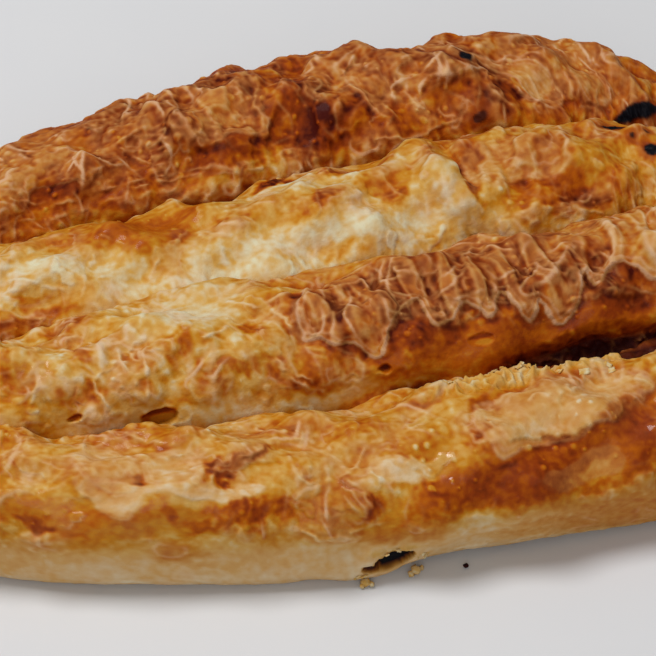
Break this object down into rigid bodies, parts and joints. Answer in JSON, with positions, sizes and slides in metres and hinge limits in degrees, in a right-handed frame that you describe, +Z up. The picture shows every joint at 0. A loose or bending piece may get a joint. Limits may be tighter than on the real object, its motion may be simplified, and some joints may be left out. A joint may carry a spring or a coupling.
{
  "type": "rolled borek",
  "caption": "Oval coil of rolled thin-dough pastry with a filling, its rows baked together, browned and blistered on top, flat underneath.",
  "frame": {"origin": "middle of the flat underside, at the centre of the coil's outline", "axes": "+X along the rows of the coil towards the end where the outer tail lies, +Y from the front row to the back row, +Z up through the browned top"},
  "size_m": [0.2514, 0.1628, 0.0395],
  "materials": {
    "crust": "baked, half glossy where egg-washed"
  },
  "bodies": {
    "root": {"borek": "crust"}
  },
  "joints": []
}
